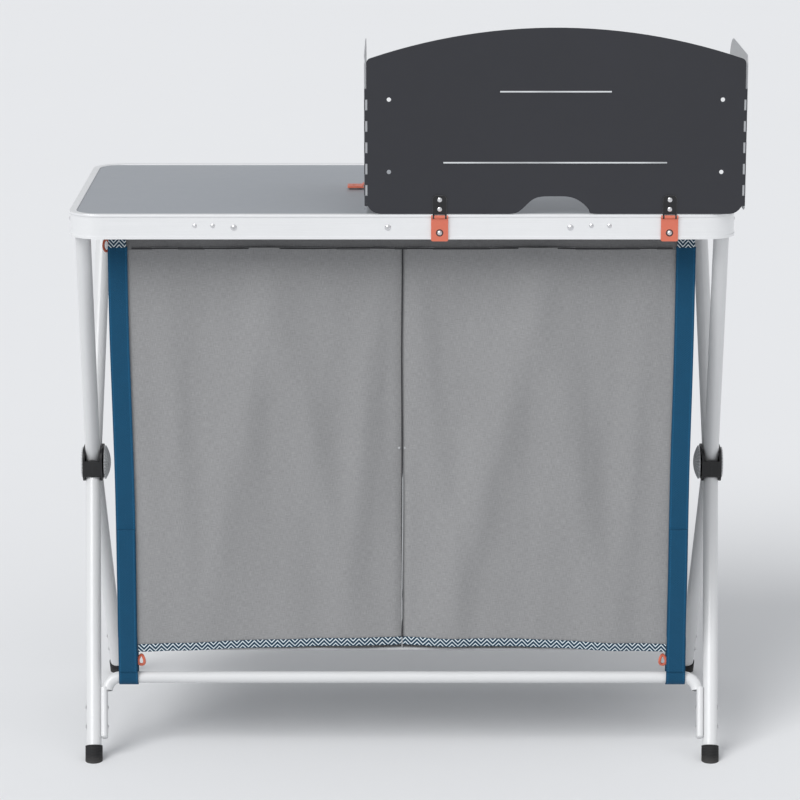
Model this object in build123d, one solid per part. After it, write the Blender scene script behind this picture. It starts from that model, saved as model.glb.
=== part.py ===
from build123d import *
import os

# Folding camp kitchen table: worktop with a wind screen, two X-shaped leg sides with a four-pin hub,
# and a fabric cabinet hung inside the frame.
# Frame: origin on the floor under the middle of the worktop, +X right, +Y to the cook's side, +Z up.

# Worktop
TOP_WIDTH = 940.0
TOP_DEPTH = 465.0
TOP_Z = 810.0
CORNER_RADIUS = 45.0
RIM_HEIGHT = 35.0
RIM_FACE_INSET = 0.8
RIM_WALL = 1.6
FLANGE_WIDTH = 10.0
FLANGE_THICKNESS = 1.5
PANEL_THICKNESS = 4.0
RAIL_X = 278.0
RAIL_WIDTH = 25.0
RAIL_HEIGHT = 14.0
RAIL_WALL = 1.2
RAIL_LENGTH = 440.0
EDGE_SCREW_X = (-236.0, -20.0, 236.0)

# Legs: tube axes run between these points of the YZ plane, mirrored front to back
LEG_RADIUS = 11.0
LEG_WALL = 1.3
HUB_X = 461.0
LEG_TOP_X = 452.0
FOOT_X = 449.5
HUB_Z = 395.0
PIN_SPACING = 13.0
UPPER_PIN_RISE = 15.0
LOWER_PIN_DROP = 13.0
LEG_TOP_Y = 188.0
LEG_TOP_Z = 784.0
FOOT_Y = 216.0
LEG_END_Z = 12.0
RUNNING_CLEARANCE = 0.05

# Hub
HUB_DEPTH = 62.0
HUB_HEIGHT = 49.0
HUB_CORNER = 16.0
CHEEK_THICKNESS = 3.0
CHEEK_GAP = 0.4
HUB_WALL = 3.5
HUB_WALL_TOP = 8.0
HUB_WALL_BOTTOM = 16.0
HUB_PIN_RADIUS = 3.0
CAP_RADIUS = 25.0
CAP_DOME = 7.0
OUTER_CAP_RADIUS = 23.0
OUTER_CAP_THICKNESS = 3.0

# Crossbars and feet
BAR_RADIUS = 8.5
BAR_WALL = 1.2
BAR_Z = 109.0
BAR_BEND = 20.0
PRESSED_THICKNESS = 10.0
PRESSED_WIDTH = 20.0
PRESSED_END_Z = 29.0
FOOT_RADIUS = 12.6
FOOT_LENGTH = 19.0

# Brackets under the worktop
BRACKET_THICKNESS = 1.6
BRACKET_HALF_DEPTH = 13.0
PIVOT_RADIUS = 4.0

# Wind screen
SCREEN_X = 213.5
SCREEN_HALF_WIDTH = 263.5
SCREEN_CORNER_Z = 1027.7
SCREEN_APEX_Z = 1072.0
SCREEN_BOTTOM_Z = 811.0
SHEET = 1.2
SCREEN_Y = -232.2
KNUCKLE_RADIUS = 3.0
KNUCKLE_LENGTH = 15.0
KNUCKLE_COUNT = 11
KNUCKLE_BOTTOM_Z = 822.0
HINGE_PIN_RADIUS = 1.5
WING_DEPTH = 258.0
WING_BOTTOM_Z = 814.5
WING_TOP_Z = 1033.0
WING_FAR_CORNER = 62.0
TAB_SPREAD = 161.0
WING_TAB_Y = 2.0
TAB_WIDTH = 24.0
TAB_LENGTH = 34.5
WING_TAB_LENGTH = 24.0
TAB_THICKNESS = 2.5

# Fabric cabinet
CABINET_HALF_WIDTH = 415.0
CABINET_BOTTOM_Z = 150.0
CABINET_SEAM_Z = 752.0
CABINET_TOP_Z = 778.0
CLOTH = 3.0
BOARD = 4.0
STRAP_X = 401.0
STRAP_WIDTH = 28.0
STRAP_THICKNESS = 1.8

os.makedirs("parts", exist_ok=True)


def save(node, *solids):
    shapes = [solid for shape in solids for solid in shape.solids()]
    export_step(shapes[0] if len(shapes) == 1 else Compound(children=shapes), f"parts/{node}.step")


def rod(start, end, radius, bore=0.0):
    """A round bar or tube between two points."""
    axis = Vector(*end) - Vector(*start)
    section = Circle(radius) - Circle(bore) if bore else Circle(radius)
    return extrude(Plane(origin=start, z_dir=axis) * section, axis.length)


def block(x0, x1, y0, y1, z0, z1):
    """A box between two corners."""
    return Pos((x0 + x1) / 2, (y0 + y1) / 2, (z0 + z1) / 2) * Box(x1 - x0, y1 - y0, z1 - z0)


def cross_pin(x0, x1, y, z, radius):
    """A round bar along X."""
    return rod((x0, y, z), (x1, y, z), radius)


def domed_head(point, direction, radius, height):
    """A rivet or screw head: a low dome standing on a face."""
    ball = (radius * radius + height * height) / (2 * height)
    plane = Plane(origin=point, z_dir=direction)
    dome = Pos(0, 0, height - ball) * Sphere(ball)
    half = Pos(0, 0, height / 2) * Box(3 * ball, 3 * ball, height)
    return plane.location * (dome & half)


def left_copy(shape):
    return mirror(shape, about=Plane.YZ)


def rear_copy(shape):
    return mirror(shape, about=Plane.XZ)


def rounded_slab(inset, z0, z1):
    """The worktop's outline, moved in by inset, between two heights."""
    outline = RectangleRounded(TOP_WIDTH - 2 * inset, TOP_DEPTH - 2 * inset, CORNER_RADIUS - inset)
    return extrude(Pos(0, 0, z0) * outline, z1 - z0)


def ring(z0, z1, outer_inset, inner_inset):
    return rounded_slab(outer_inset, z0, z1) - rounded_slab(inner_inset, z0, z1)


# ---- worktop -------------------------------------------------------------------------------------
WALL_INSET = RIM_FACE_INSET + RIM_WALL
RIM_FACE_Y = -TOP_DEPTH / 2 + RIM_FACE_INSET
RIM_INNER_Y = -TOP_DEPTH / 2 + WALL_INSET
RIM_BOTTOM_Z = TOP_Z - RIM_HEIGHT
PANEL_Z = TOP_Z - FLANGE_THICKNESS - PANEL_THICKNESS
LEDGE_Z = PANEL_Z - FLANGE_THICKNESS
RIVET_Z = TOP_Z - 16.0
EDGE_SCREW_Z = TOP_Z - 18.3
RIVET_RADIUS = 2.0
RIVET_OFFSET = 12.6
PLATE_HALF_WIDTH = 20.0


def rail_rivet(x):
    """A rivet through the rim's front wall and a rail's end plate."""
    shank = rod((x, RIM_FACE_Y, RIVET_Z), (x, RIM_INNER_Y + 3.2, RIVET_Z), RIVET_RADIUS)
    return shank + domed_head((x, RIM_FACE_Y, RIVET_Z), (0, -1, 0), 3.3, 1.5)


def edge_screw(x):
    """A button-head screw in the rim's front wall, with a hexagon socket."""
    shank = rod((x, RIM_FACE_Y, EDGE_SCREW_Z), (x, RIM_INNER_Y + 7.0, EDGE_SCREW_Z), 2.5)
    head = domed_head((x, RIM_FACE_Y, EDGE_SCREW_Z), (0, -1, 0), 4.6, 2.4)
    socket = extrude(Plane(origin=(x, RIM_FACE_Y - 3.0, EDGE_SCREW_Z), z_dir=(0, 1, 0))
                     * RegularPolygon(1.5, 6), 2.0)
    return shank + head - socket


rivet_x = [side * RAIL_X + step for side in (-1, 1) for step in (-RIVET_OFFSET, RIVET_OFFSET)]
front_rivets = [rail_rivet(x) for x in rivet_x]
rail_rivets = front_rivets + [rear_copy(rivet) for rivet in front_rivets]
edge_screws = [edge_screw(x) for x in EDGE_SCREW_X]


def end_plate(x):
    """An angle plate that joins a rail's end to the rim."""
    upright = block(x - PLATE_HALF_WIDTH, x + PLATE_HALF_WIDTH, RIM_INNER_Y, RIM_INNER_Y + 1.8,
                    PANEL_Z - RAIL_HEIGHT - 1.8, LEDGE_Z)
    shelf = block(x - PLATE_HALF_WIDTH, x + PLATE_HALF_WIDTH, RIM_INNER_Y, RIM_INNER_Y + 26.0,
                  PANEL_Z - RAIL_HEIGHT - 1.8, PANEL_Z - RAIL_HEIGHT)
    plate = upright + shelf
    for step in (-RIVET_OFFSET, RIVET_OFFSET):
        plate -= rod((x + step, RIM_INNER_Y - 1, RIVET_Z), (x + step, RIM_INNER_Y + 4, RIVET_Z), RIVET_RADIUS)
    return plate


def cross_rail(x):
    """A rectangular tube from front to back under the panel."""
    section = Rectangle(RAIL_WIDTH, RAIL_HEIGHT)
    section -= Rectangle(RAIL_WIDTH - 2 * RAIL_WALL, RAIL_HEIGHT - 2 * RAIL_WALL)
    start = Plane(origin=(x, -RAIL_LENGTH / 2, PANEL_Z - RAIL_HEIGHT / 2), x_dir=(1, 0, 0), z_dir=(0, 1, 0))
    return extrude(start * section, RAIL_LENGTH)


# ---- leg brackets under the worktop -----------------------------------------------------------------
SIDE_PLAY = 0.7
CHEEK_OUT_X = LEG_TOP_X + LEG_RADIUS + SIDE_PLAY
CHEEK_IN_X = LEG_TOP_X - LEG_RADIUS - SIDE_PLAY
BRACKET_RIVET_Z = LEDGE_Z - 6.0


def cheek_plate(x0, x1, y):
    """A cheek with a rounded foot beside a leg's top end."""
    upper = block(x0, x1, y - BRACKET_HALF_DEPTH, y + BRACKET_HALF_DEPTH, LEG_TOP_Z, LEDGE_Z)
    return upper + cross_pin(x0, x1, y, LEG_TOP_Z, BRACKET_HALF_DEPTH)


def bracket_rivet(y):
    """A rivet through the rim's side wall and a bracket's outer cheek."""
    face_x = TOP_WIDTH / 2 - RIM_FACE_INSET
    shank = cross_pin(CHEEK_OUT_X, face_x, y, BRACKET_RIVET_Z, RIVET_RADIUS)
    return shank + domed_head((face_x, y, BRACKET_RIVET_Z), (1, 0, 0), 3.3, 1.5)


bracket_rivets = [bracket_rivet(side * (LEG_TOP_Y - step)) for side in (-1, 1) for step in (2.0, 10.0)]
bracket_rivets += [left_copy(rivet) for rivet in bracket_rivets]


def leg_bracket(y, roof_z):
    """Two cheeks and a roof over a leg's top end."""
    outer = cheek_plate(CHEEK_OUT_X, CHEEK_OUT_X + BRACKET_THICKNESS, y)
    inner = cheek_plate(CHEEK_IN_X - BRACKET_THICKNESS, CHEEK_IN_X, y)
    roof = block(CHEEK_IN_X - BRACKET_THICKNESS, CHEEK_OUT_X + BRACKET_THICKNESS,
                 y - BRACKET_HALF_DEPTH, y + BRACKET_HALF_DEPTH, roof_z, LEDGE_Z)
    return outer + inner + roof


front_bracket = leg_bracket(-LEG_TOP_Y, LEDGE_Z - 2.5)
front_bracket -= cross_pin(CHEEK_IN_X - 5, CHEEK_OUT_X + 5, -LEG_TOP_Y, LEG_TOP_Z, PIVOT_RADIUS)
rear_saddle = leg_bracket(LEG_TOP_Y, LEG_TOP_Z + LEG_RADIUS + 0.3)
rear_saddle += block(CHEEK_IN_X, CHEEK_OUT_X, LEG_TOP_Y + LEG_RADIUS + 0.4,
                     LEG_TOP_Y + BRACKET_HALF_DEPTH, LEG_TOP_Z - 4.0, LEDGE_Z)
for rivet in bracket_rivets:
    front_bracket -= rivet
    rear_saddle -= rivet
leg_pivot = cross_pin(CHEEK_IN_X - BRACKET_THICKNESS, CHEEK_OUT_X + BRACKET_THICKNESS,
                      -LEG_TOP_Y, LEG_TOP_Z, PIVOT_RADIUS)
leg_pivot += domed_head((CHEEK_IN_X - BRACKET_THICKNESS, -LEG_TOP_Y, LEG_TOP_Z), (-1, 0, 0), 6.5, 2.5)

# ---- rim ----------------------------------------------------------------------------------------------
rim = ring(TOP_Z - FLANGE_THICKNESS, TOP_Z, 0, FLANGE_WIDTH)
rim += ring(TOP_Z - 3.2, TOP_Z, 0, WALL_INSET)
rim += ring(TOP_Z - 4.2, TOP_Z - 3.2, 1.4, WALL_INSET)
rim += ring(RIM_BOTTOM_Z + 3.4, TOP_Z - 4.2, RIM_FACE_INSET, WALL_INSET)
rim += ring(RIM_BOTTOM_Z, RIM_BOTTOM_Z + 3.4, 0, WALL_INSET)
rim += ring(LEDGE_Z, PANEL_Z, WALL_INSET, FLANGE_WIDTH)
lip_edges = [edge for edge in rim.edges()
             if abs(edge.center().Z - TOP_Z) < 0.01 and edge.length > 20
             and max(abs(edge.center().X) - TOP_WIDTH / 2, abs(edge.center().Y) - TOP_DEPTH / 2) > -15
             and edge.distance_to(Vertex(0, 0, TOP_Z)) > TOP_DEPTH / 2 - 1]
rim = fillet(lip_edges, 0.9)
SCREW_DROP = 22.5
TAB_AXIS_Z = TOP_Z - 2.8
TAB_SCREW_Z = TAB_AXIS_Z - SCREW_DROP
TAB_AXIS_Y = SCREEN_Y - 2.9
tab_x = [SCREEN_X - TAB_SPREAD, SCREEN_X + TAB_SPREAD]


def tab_screw(x):
    """A domed thumb screw that holds a tab to the rim."""
    shank = rod((x, TAB_AXIS_Y - 0.1, TAB_SCREW_Z), (x, RIM_INNER_Y + 8.0, TAB_SCREW_Z), 2.5)
    return shank + domed_head((x, TAB_AXIS_Y - 0.1, TAB_SCREW_Z), (0, -1, 0), 3.7, 2.2)


tab_screws = [tab_screw(x) for x in tab_x]
for fastener in rail_rivets + edge_screws + bracket_rivets + tab_screws:
    rim -= fastener

save("worktop_edge_frame", rim)
save("worktop_panel", rounded_slab(WALL_INSET + 0.1, PANEL_Z, PANEL_Z + PANEL_THICKNESS))
save("cross_rails", cross_rail(-RAIL_X), cross_rail(RAIL_X))
front_plates = [end_plate(-RAIL_X), end_plate(RAIL_X)]
save("rail_end_plates", *front_plates, *[rear_copy(plate) for plate in front_plates])
save("rail_rivets", *rail_rivets)
save("edge_screws", *edge_screws)
save("front_leg_brackets", front_bracket, left_copy(front_bracket))
save("rear_leg_saddles", rear_saddle, left_copy(rear_saddle))
save("leg_bracket_rivets", *bracket_rivets)
save("front_leg_pivot_pins", leg_pivot, left_copy(leg_pivot))

# ---- legs -----------------------------------------------------------------------------------------------
HUB_TOP_PIN = Vector(HUB_X, -PIN_SPACING, HUB_Z + UPPER_PIN_RISE)
HUB_LOW_PIN = Vector(HUB_X, -PIN_SPACING, HUB_Z - LOWER_PIN_DROP)
LEG_TOP = Vector(LEG_TOP_X, -LEG_TOP_Y, LEG_TOP_Z)
FOOT = Vector(FOOT_X, -FOOT_Y, 0)


def on_lower_leg(z):
    """The point of the front lower leg's axis at a height."""
    return HUB_LOW_PIN + (FOOT - HUB_LOW_PIN) * ((HUB_LOW_PIN.Z - z) / HUB_LOW_PIN.Z)


def round_end(point, radius):
    """The round nose that a leg's pinned end is cut to."""
    return cross_pin(point.X - 2 * LEG_RADIUS, point.X + 2 * LEG_RADIUS, point.Y, point.Z, radius)


def half_leg(start, end, pins):
    """A tube with a round nose and a pin hole at each pinned end; pins pairs a point with a radius."""
    along = (end - start).normalized() * LEG_RADIUS
    low = start - along
    high = end + along if len(pins) == 2 else end
    leg = rod(tuple(low), tuple(high), LEG_RADIUS, LEG_RADIUS - LEG_WALL)
    envelope = rod(tuple(start), tuple(end), LEG_RADIUS + 1)
    for point, _ in pins:
        envelope += round_end(point, LEG_RADIUS)
    leg = leg & envelope
    for point, hole in pins:
        leg -= round_end(point, hole)
    return leg


hub_hole = HUB_PIN_RADIUS + RUNNING_CLEARANCE
front_upper = half_leg(HUB_TOP_PIN, LEG_TOP, [(HUB_TOP_PIN, hub_hole), (LEG_TOP, PIVOT_RADIUS + RUNNING_CLEARANCE)])
rear_upper = rear_copy(half_leg(HUB_TOP_PIN, LEG_TOP, [(HUB_TOP_PIN, hub_hole), (LEG_TOP, 0.5)]))
leg_end = on_lower_leg(LEG_END_Z)
lower_leg = half_leg(HUB_LOW_PIN, leg_end, [(HUB_LOW_PIN, hub_hole)])

foot_top = on_lower_leg(FOOT_LENGTH)
foot_axis = (FOOT - HUB_LOW_PIN).normalized()
foot = rod(tuple(foot_top), tuple(FOOT + foot_axis * 20), FOOT_RADIUS)
foot -= rod(tuple(foot_top - foot_axis), tuple(leg_end), LEG_RADIUS)
foot &= block(FOOT_X - 40, FOOT_X + 40, -FOOT_Y - 60, -FOOT_Y + 60, 0, 60)

# ---- crossbars: a tube bent down at each end, its ends pressed flat against the legs -----------------------
bar_leg_point = on_lower_leg(BAR_Z)
bend_end = on_lower_leg(BAR_Z) + foot_axis * BAR_BEND
BAR_END_X = bend_end.X - LEG_RADIUS - BAR_RADIUS
STRAIGHT_X = BAR_END_X - BAR_BEND
straight = rod((-STRAIGHT_X, bar_leg_point.Y, BAR_Z), (STRAIGHT_X, bar_leg_point.Y, BAR_Z),
               BAR_RADIUS, BAR_RADIUS - BAR_WALL)
down = Vector(0, foot_axis.Y, foot_axis.Z).normalized()
bend_plane = Plane(origin=(STRAIGHT_X, bar_leg_point.Y, BAR_Z), x_dir=(1, 0, 0), z_dir=down.cross(Vector(1, 0, 0)))
bend_section = Plane(origin=(STRAIGHT_X, bar_leg_point.Y, BAR_Z), z_dir=(1, 0, 0)) * (
    Circle(BAR_RADIUS) - Circle(BAR_RADIUS - BAR_WALL))
bend_axis = Axis((STRAIGHT_X, (bar_leg_point + down * BAR_BEND).Y, (bar_leg_point + down * BAR_BEND).Z),
                 tuple(Vector(1, 0, 0).cross(down)))
bend = revolve(bend_section, bend_axis, 90)


def pressed_end(z0, z1):
    """The bar's flattened length, which lies against the inner side of the lower leg."""
    side_step = Vector(LEG_RADIUS + PRESSED_THICKNESS / 2 - 0.6, 0, 0)
    start = on_lower_leg(z0) - side_step
    end = on_lower_leg(z1) - side_step
    plane = Plane(origin=tuple(start), x_dir=(1, 0, 0), z_dir=tuple(end - start))
    strip = extrude(plane * RectangleRounded(PRESSED_THICKNESS, PRESSED_WIDTH, 4.5), (end - start).length)
    tip = [edge for edge in strip.faces().sort_by(Axis.Z)[0].edges() if edge.length > 2]
    return chamfer(tip, 2.0)


pressed = pressed_end(BAR_Z - 14, PRESSED_END_Z)
PRESSED_RIVET_Z = (PRESSED_END_Z + 15.0, PRESSED_END_Z + 40.0)


def bar_rivet(z):
    """A rivet through the pressed end and the leg, with a head on each side."""
    point = on_lower_leg(z)
    inner = point.X - LEG_RADIUS - PRESSED_THICKNESS + 0.6
    outer = point.X + LEG_RADIUS
    rivet = cross_pin(inner, outer, point.Y, z, RIVET_RADIUS)
    rivet += domed_head((inner, point.Y, z), (-1, 0, 0), 3.6, 1.6)
    return rivet + domed_head((outer, point.Y, z), (1, 0, 0), 3.6, 1.6)


def through(shape, rivets):
    """Cuts the rivets' shanks and heads out of a shape."""
    for rivet in rivets:
        shape -= rivet
    return shape


bar_rivets = [bar_rivet(z) for z in PRESSED_RIVET_Z]
side_end = through(bend + pressed, bar_rivets)
crossbar = straight + side_end + left_copy(side_end)
crossbar = through(crossbar, [rod(tuple(HUB_LOW_PIN), tuple(leg_end), LEG_RADIUS),
                              left_copy(rod(tuple(HUB_LOW_PIN), tuple(leg_end), LEG_RADIUS))])
lower_leg = through(lower_leg, bar_rivets)
rivet_set = bar_rivets + [left_copy(rivet) for rivet in bar_rivets]

save("front_upper_leg_right", front_upper)
save("front_upper_leg_left", left_copy(front_upper))
save("rear_upper_leg_right", rear_upper)
save("rear_upper_leg_left", left_copy(rear_upper))
for end_name, copy in (("front", lambda shape: shape), ("rear", rear_copy)):
    save(f"{end_name}_lower_leg_right", copy(lower_leg))
    save(f"{end_name}_lower_leg_left", copy(left_copy(lower_leg)))
    save(f"{end_name}_feet", copy(foot), copy(left_copy(foot)))
    save(f"{end_name}_crossbar", copy(crossbar))
    save(f"{end_name}_crossbar_rivets", *[copy(rivet) for rivet in rivet_set])

# ---- hubs ---------------------------------------------------------------------------------------------------
hub_outline = RectangleRounded(HUB_DEPTH, HUB_HEIGHT, HUB_CORNER)
CHEEK_IN = HUB_X - LEG_RADIUS - CHEEK_GAP
CHEEK_OUT = HUB_X + LEG_RADIUS + CHEEK_GAP
pin_points = [(y, z) for y in (-PIN_SPACING, PIN_SPACING) for z in (HUB_TOP_PIN.Z, HUB_LOW_PIN.Z)]
BOLT_RADIUS = 3.0
BOSS_RADIUS = 5.0


def hub_slice(x0, x1):
    """The hub's outline between two stations along X."""
    return extrude(Plane(origin=(x0, 0, HUB_Z), x_dir=(0, 1, 0), z_dir=(1, 0, 0)) * hub_outline, x1 - x0)


def hub_shell(cheek_x0, cheek_x1, wall_x0, wall_x1):
    """A cheek with a front wall, a rear wall and a middle boss."""
    shell = hub_slice(cheek_x0, cheek_x1)
    walls = hub_slice(wall_x0, wall_x1)
    inner_y = HUB_DEPTH / 2 - HUB_WALL
    walls &= block(wall_x0, wall_x1, -HUB_DEPTH, HUB_DEPTH, HUB_Z - HUB_WALL_BOTTOM, HUB_Z + HUB_WALL_TOP)
    walls -= block(wall_x0 - 1, wall_x1 + 1, -inner_y, inner_y, HUB_Z - HUB_HEIGHT, HUB_Z + HUB_HEIGHT)
    boss = cross_pin(wall_x0, wall_x1, 0, HUB_Z, BOSS_RADIUS)
    shell = shell + walls + boss - cross_pin(cheek_x0 - 20, cheek_x1 + 20, 0, HUB_Z, BOLT_RADIUS)
    for y, z in pin_points:
        shell -= cross_pin(cheek_x0 - 20, cheek_x1 + 20, y, z, HUB_PIN_RADIUS)
    return shell


def hub_pin(y, z):
    """A riveted pin through both cheeks and a leg's end."""
    pin = cross_pin(CHEEK_IN - CHEEK_THICKNESS, CHEEK_OUT + CHEEK_THICKNESS, y, z, HUB_PIN_RADIUS)
    return pin + domed_head((CHEEK_IN - CHEEK_THICKNESS, y, z), (-1, 0, 0), 5.5, 1.6)


outer_shell = hub_shell(CHEEK_OUT, CHEEK_OUT + CHEEK_THICKNESS, HUB_X, CHEEK_OUT)
inner_shell = hub_shell(CHEEK_IN - CHEEK_THICKNESS, CHEEK_IN, CHEEK_IN, HUB_X)
CAP_X = CHEEK_IN - CHEEK_THICKNESS - 2.0
cap = cross_pin(CAP_X - 2.0, CAP_X, 0, HUB_Z, CAP_RADIUS)
cap += cross_pin(CAP_X, CAP_X + 2.0, 0, HUB_Z, BOSS_RADIUS)
cap += domed_head((CAP_X - 2.0, 0, HUB_Z), (-1, 0, 0), CAP_RADIUS, CAP_DOME)
bolt = cross_pin(CAP_X + 2.0, CHEEK_OUT + CHEEK_THICKNESS, 0, HUB_Z, BOLT_RADIUS)
OUTER_CAP_X = CHEEK_OUT + CHEEK_THICKNESS + 0.1
outer_cap = cross_pin(OUTER_CAP_X, OUTER_CAP_X + OUTER_CAP_THICKNESS, 0, HUB_Z, OUTER_CAP_RADIUS)
outer_cap = fillet(outer_cap.faces().sort_by(Axis.X)[-1].edges(), 1.5)
hub_pins = [hub_pin(y, z) for y, z in pin_points]

save("hub_outer_shell_right", outer_shell)
save("hub_outer_shell_left", left_copy(outer_shell))
save("hub_inner_shell_right", inner_shell)
save("hub_inner_shell_left", left_copy(inner_shell))
save("hub_inner_caps", cap, left_copy(cap))
save("hub_outer_caps", outer_cap, left_copy(outer_cap))
save("hub_pins", *hub_pins, *[left_copy(pin) for pin in hub_pins])
save("hub_centre_bolts", bolt, left_copy(bolt))

# ---- wind screen ------------------------------------------------------------------------------------------------
LEFT_HINGE_X = SCREEN_X - SCREEN_HALF_WIDTH
RIGHT_HINGE_X = SCREEN_X + SCREEN_HALF_WIDTH
HINGE_Y = SCREEN_Y + KNUCKLE_RADIUS
HOLE_X = 232.0
HOLE_Z = (870.5, 972.0)
HOLE_RADIUS = 3.0
GRIP_HALF_WIDTH = 63.0
GRIP_HEIGHT = 25.0
RIB_LENGTHS = ((883.5, 312.0), (983.0, 155.0))
KNUCKLE_GAP = 0.15


def screen_outline():
    """The back panel's outline: an arched top, round corners and a finger cut-out below."""
    half = SCREEN_HALF_WIDTH
    base = SCREEN_BOTTOM_Z
    arch = ThreePointArc((-half, SCREEN_CORNER_Z), (0, SCREEN_APEX_Z), (half, SCREEN_CORNER_Z))
    sides = Polyline((half, SCREEN_CORNER_Z), (half, base), (-half, base), (-half, SCREEN_CORNER_Z))
    sheet = make_face([arch, sides])
    low = [corner for corner in sheet.vertices() if corner.Y < base + 1]
    high = [corner for corner in sheet.vertices() if corner.Y > base + 1 and abs(corner.X) > half - 1]
    sheet = fillet(low, 20.0)
    sheet = fillet([corner for corner in sheet.vertices()
                    if any((corner.center() - top.center()).length < 0.1 for top in high)], 8.0)
    return sheet


def finger_grip():
    """The cut-out at the bottom, with flared sides and a round top."""
    half = GRIP_HALF_WIDTH
    base = SCREEN_BOTTOM_Z
    top = base + GRIP_HEIGHT
    crown = Spline([(-half, base), (-half + 15, base + 5), (-half + 33, top - 4), (0, top),
                    (half - 33, top - 4), (half - 15, base + 5), (half, base)], tangents=[(1, 0), (1, 0)])
    return make_face([crown, Line((half, base), (-half, base))])


def stand_up(face, thickness, y):
    """Turns a face drawn in X and Z into a sheet of the given thickness behind y."""
    return extrude(Plane(origin=(SCREEN_X, y, 0), x_dir=(1, 0, 0), z_dir=(0, -1, 0)) * face, -thickness)


def knuckle_z(index):
    return KNUCKLE_BOTTOM_Z + index * KNUCKLE_LENGTH


def knuckles(x, first):
    """Every other knuckle of a hinge, from first up."""
    rolls = []
    for index in range(first, KNUCKLE_COUNT, 2):
        z0 = knuckle_z(index) + KNUCKLE_GAP
        z1 = knuckle_z(index + 1) - KNUCKLE_GAP
        rolls.append(rod((x, HINGE_Y, z0), (x, HINGE_Y, z1), KNUCKLE_RADIUS))
    return rolls


def knuckle_room(x, first):
    """The space that the other leaf's knuckles turn in."""
    rooms = []
    for index in range(first, KNUCKLE_COUNT, 2):
        z0 = knuckle_z(index) - KNUCKLE_GAP
        z1 = knuckle_z(index + 1) + KNUCKLE_GAP
        rooms.append(rod((x, HINGE_Y, z0), (x, HINGE_Y, z1), KNUCKLE_RADIUS + 0.5))
    return rooms


def hinged_leaf(sheet, x, own_first):
    """Adds a leaf's knuckles to its sheet and clears the other leaf's."""
    for room in knuckle_room(x, 1 - own_first):
        sheet -= room
    for knuckle in knuckles(x, own_first):
        sheet += knuckle
    bore = rod((x, HINGE_Y, KNUCKLE_BOTTOM_Z - 5), (x, HINGE_Y, knuckle_z(KNUCKLE_COUNT) + 5),
               HINGE_PIN_RADIUS + RUNNING_CLEARANCE)
    return sheet - bore


back_face = screen_outline() - finger_grip()
for x in (-HOLE_X, HOLE_X):
    for z in HOLE_Z:
        back_face -= Pos(x, z) * Circle(HOLE_RADIUS)
back_panel = stand_up(back_face, SHEET, SCREEN_Y)
for z, length in RIB_LENGTHS:
    rib = rod((SCREEN_X - length / 2, SCREEN_Y + 0.35, z), (SCREEN_X + length / 2, SCREEN_Y + 0.35, z), 1.5)
    back_panel += rib & block(0, 500, SCREEN_Y - 2, SCREEN_Y + 0.6, z - 5, z + 5)
back_panel = hinged_leaf(back_panel, LEFT_HINGE_X, 0)
back_panel = hinged_leaf(back_panel, RIGHT_HINGE_X, 0)


def wing(x, side):
    """A side panel: level top, a small near corner and a large far one."""
    near = HINGE_Y
    far = HINGE_Y + WING_DEPTH
    face = Pos((near + far) / 2, (WING_BOTTOM_Z + WING_TOP_Z) / 2) * Rectangle(far - near, WING_TOP_Z - WING_BOTTOM_Z)
    corners = face.vertices()
    far_top = [corner for corner in corners if corner.X > 0 and corner.Y > 900]
    face = fillet(far_top, WING_FAR_CORNER)
    face = fillet([corner for corner in face.vertices() if corner.X > far - 1 and corner.Y < 900], 18.0)
    face = fillet([corner for corner in face.vertices() if corner.X < near + 1], 15.0)
    x0 = x + side * KNUCKLE_RADIUS
    sheet = extrude(Plane(origin=(x0, 0, 0), x_dir=(0, 1, 0), z_dir=(1, 0, 0)) * face, -side * SHEET)
    return hinged_leaf(sheet, x, 1)


# ---- tabs: a bracket on the sheet, a pin and a tab that swings on it -----------------------------------------------
TAB_BARREL = 2.3
TAB_PIN = 1.2
BRACKET_WIDTH = 20.0
BRACKET_HEIGHT = 30.5
LOCAL_WALL_Y = 2.9
EAR_INNER = 7.6
EAR_OUTER = 9.6
RIVET_HEIGHTS = (10.5, 24.0)


def local_bracket():
    """The bracket: hinge line along X at the origin, plate standing up against the sheet."""
    plate = block(-BRACKET_WIDTH / 2, BRACKET_WIDTH / 2, LOCAL_WALL_Y - 1.5, LOCAL_WALL_Y, 3.2, BRACKET_HEIGHT)
    plate = fillet([edge for edge in plate.edges().filter_by(Axis.Y) if edge.center().Z > 20], 6.0)
    for side in (-1, 1):
        x0, x1 = sorted((side * EAR_INNER, side * EAR_OUTER))
        plate += block(x0, x1, LOCAL_WALL_Y - 1.5, LOCAL_WALL_Y - 0.6, -1.0, 3.4)
        plate += cross_pin(x0, x1, 0, 0, TAB_BARREL)
    for height in RIVET_HEIGHTS:
        plate -= rod((0, -5, height), (0, 10, height), RIVET_RADIUS)
    return plate - cross_pin(-20, 20, 0, 0, TAB_PIN)


def local_rivet(height, sheet):
    """A rivet through the bracket and the sheet."""
    rivet = rod((0, LOCAL_WALL_Y - 1.5, height), (0, LOCAL_WALL_Y + sheet, height), RIVET_RADIUS)
    rivet += domed_head((0, LOCAL_WALL_Y - 1.5, height), (0, -1, 0), 3.2, 1.0)
    return rivet + domed_head((0, LOCAL_WALL_Y + sheet, height), (0, 1, 0), 2.8, 0.9)


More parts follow.
